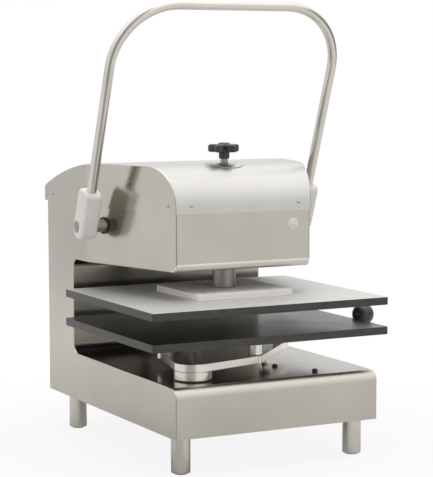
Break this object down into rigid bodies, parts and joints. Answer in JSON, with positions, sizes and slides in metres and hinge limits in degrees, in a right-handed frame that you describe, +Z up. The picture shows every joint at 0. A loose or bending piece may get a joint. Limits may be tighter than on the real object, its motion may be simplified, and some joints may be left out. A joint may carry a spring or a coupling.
{
  "type": "pizza dough press",
  "caption": "Counter-top manual dough press: stainless C-frame on legs, hinged bail handle that lowers a black upper platen, and a lower platen that swings out on an arm.",
  "frame": {"origin": "middle of the base's footprint, on the plane of the feet", "axes": "+X to the operator's right, +Y to the back, +Z up"},
  "size_m": [0.5695, 0.612, 0.8777],
  "materials": {
    "brushed_stainless": "brushed sheet",
    "polished_stainless": "polished tube and bar",
    "plain_steel": "machined",
    "satin_aluminium": "satin, machined",
    "black_coated_aluminium": "black release coating, semi-gloss",
    "black_nylon": "matt",
    "black_phenolic": "moulded",
    "bronze": "machined",
    "pale_nylon": "matt"
  },
  "bodies": {
    "frame": {"base_shell": "brushed_stainless", "base_plate": "brushed_stainless", "column_shell": "brushed_stainless", "rear_panel": "brushed_stainless", "head_housing": "brushed_stainless", "head_floor_plate": "plain_steel", "bearing_plate_left": "plain_steel", "bearing_plate_right": "plain_steel", "top_cover": "brushed_stainless", "front_plug": "polished_stainless", "leg_front_left": "polished_stainless", "leg_front_right": "polished_stainless", "leg_rear_left": "polished_stainless", "leg_rear_right": "polished_stainless", "leg_glides": "pale_nylon", "leg_studs": "plain_steel", "leg_nuts": "plain_steel", "shaft_bushing_left": "black_nylon", "shaft_bushing_right": "black_nylon", "ram_guide": "bronze", "guide_screws": "plain_steel", "return_spring": "plain_steel", "stop_bridge": "plain_steel", "bridge_screws": "plain_steel", "pivot_block": "plain_steel", "pivot_pin": "polished_stainless", "pivot_washer": "black_nylon", "arm_rest_pad": "black_nylon"},
    "handle": {"handle_shaft": "polished_stainless", "handle_hub_left": "satin_aluminium", "handle_hub_right": "satin_aluminium", "handle_bail": "polished_stainless", "drive_pinion": "plain_steel"},
    "ram": {"ram": "polished_stainless", "ram_cap": "plain_steel", "crosshead": "plain_steel", "drive_rack": "plain_steel", "mount_plate": "satin_aluminium", "upper_platen": "black_coated_aluminium", "mount_screws": "plain_steel"},
    "adjuster": {"adjuster_screw": "plain_steel", "screw_collars": "plain_steel", "adjuster_knob": "black_phenolic"},
    "stop_nut": {"stop_nut": "bronze"},
    "swing": {"pivot_boss": "satin_aluminium", "swing_arm": "satin_aluminium", "platen_posts": "satin_aluminium", "lower_platen": "black_coated_aluminium", "post_bolts": "plain_steel", "knob_bracket": "satin_aluminium", "bracket_screws": "plain_steel", "ball_stud": "plain_steel", "ball_knob": "black_phenolic"}
  },
  "joints": [
    {"name": "handle_hinge", "type": "hinge", "parent": "frame", "child": "handle", "pos_m": [0, 0.044, 0.439], "axis": [1, 0, 0], "range_deg": [0, 75]},
    {"name": "ram_slide", "type": "slide", "parent": "frame", "child": "ram", "axis": [0, 0, -1], "range_m": [0, 0.03927], "stiffness_N_per_m": 4000, "springref_m": -0.075, "deforming": ["return_spring"]},
    {"name": "swing_pivot", "type": "hinge", "parent": "frame", "child": "swing", "pos_m": [-0.143, -0.223, 0.1945], "axis": [0, 0, -1], "range_deg": [0, 90]},
    {"name": "adjuster_turn", "type": "hinge", "parent": "frame", "child": "adjuster", "pos_m": [0, -0.079, 0.58], "axis": [0, 0, 1], "range_deg": [0, 2160]},
    {"name": "stop_nut_slide", "type": "slide", "parent": "frame", "child": "stop_nut", "axis": [0, 0, -1], "range_m": [0, 0.01201]}
  ],
  "couplings": [
    {"joint": "ram_slide", "follows": "handle_hinge", "m_per_rad": 0.03},
    {"joint": "stop_nut_slide", "follows": "adjuster_turn", "m_per_rad": 0.00031831}
  ]
}
